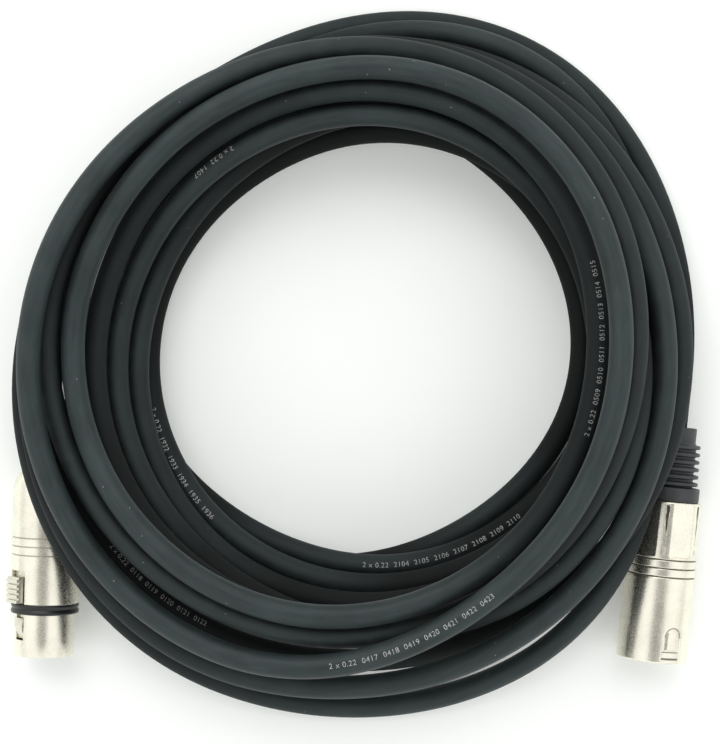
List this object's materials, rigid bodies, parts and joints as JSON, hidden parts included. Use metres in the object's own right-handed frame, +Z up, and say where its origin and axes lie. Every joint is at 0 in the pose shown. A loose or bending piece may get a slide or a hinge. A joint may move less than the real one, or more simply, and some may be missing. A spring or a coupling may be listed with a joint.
{
  "type": "xlr cable coil",
  "caption": "Long black microphone cable in a loose coil, with a nickel female connector with a sprung latch at one end and a male connector at the other.",
  "frame": {"origin": "on the floor, under the middle of the whole part", "axes": "+Z up from the floor the coil lies on; the connectors' fronts point towards -Y, the male one on the +X side"},
  "size_m": [0.1871, 0.1922, 0.049],
  "materials": {
    "jacket": "matt black soft jacket",
    "nickel": "satin nickel plating, slightly warm",
    "insert": "moulded black",
    "contact": "silver plated",
    "ground_strip": "tinned bronze strip",
    "chuck": "moulded grey",
    "boot": "matt black moulded boot",
    "red_insulation": "smooth",
    "white_insulation": "smooth",
    "copper": "bare stranded copper",
    "ring": "smooth black rubber",
    "latch": "satin nickel plating",
    "spring_steel": "bright"
  },
  "bodies": {
    "cable": {"cable_coil": "jacket", "male_lead": "jacket", "female_lead": "jacket", "male_shell": "nickel", "male_insert": "insert", "male_pin_1": "contact", "male_pin_2": "contact", "male_pin_3": "contact", "male_ground_contact": "ground_strip", "male_chuck": "chuck", "male_boot": "boot", "male_red_wire": "red_insulation", "male_white_wire": "white_insulation", "male_screen_wire": "copper", "female_shell": "nickel", "female_ring": "ring", "female_insert": "insert", "female_socket_1": "contact", "female_socket_2": "contact", "female_socket_3": "contact", "female_ground_contact": "ground_strip", "female_chuck": "chuck", "female_boot": "boot", "female_red_wire": "red_insulation", "female_white_wire": "white_insulation", "female_screen_wire": "copper", "latch_spring": "spring_steel", "latch_pin": "spring_steel"},
    "latch": {"latch_lever": "latch"}
  },
  "joints": [
    {"name": "latch_hinge", "type": "hinge", "parent": "cable", "child": "latch", "pos_m": [-0.08922, -0.05615, 0.01406], "axis": [0.6944, -0.0182, 0.7193], "range_deg": [0, 5], "stiffness_Nm_per_rad": 0.05, "springref_deg": -11.46, "deforming": ["latch_spring"]}
  ]
}
